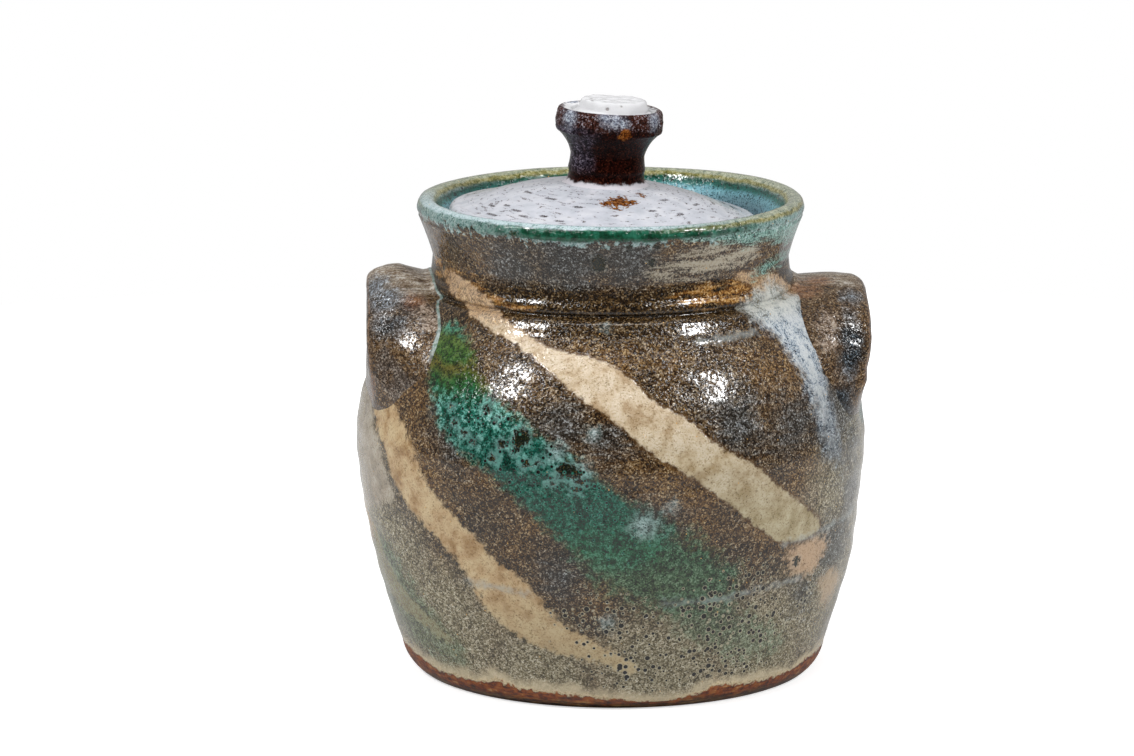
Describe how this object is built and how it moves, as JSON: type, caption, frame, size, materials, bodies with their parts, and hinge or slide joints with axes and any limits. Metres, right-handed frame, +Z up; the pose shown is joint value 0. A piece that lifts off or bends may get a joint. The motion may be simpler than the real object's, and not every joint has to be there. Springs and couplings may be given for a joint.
{
  "type": "lidded stoneware bean pot",
  "caption": "Round-bellied glazed stoneware bean pot with a galleried neck, ear lugs on the shoulder, and a domed lift-off lid with a flared knob.",
  "frame": {"origin": "on the pot's turning axis, at the flat ring of the foot that stands on the table", "axes": "+Z up along the pot's turning axis; the ear lugs are on -X and +X, and the side the picture shows faces -Y"},
  "size_m": [0.1818, 0.181, 0.204],
  "materials": {
    "pot_glaze": "glossy speckled glaze over stoneware",
    "lid_glaze": "glossy opaque pale glaze over stoneware",
    "knob_glaze": "glossy dark glaze over stoneware"
  },
  "bodies": {
    "pot": {"pot_body": "pot_glaze", "handle_left": "pot_glaze", "handle_right": "pot_glaze"},
    "lid": {"lid": "lid_glaze", "lid_knob": "knob_glaze"}
  },
  "joints": [
    {"name": "lid_lift", "type": "slide", "parent": "pot", "child": "lid", "axis": [0, 0, 1], "range_m": [0, 0.08]}
  ]
}
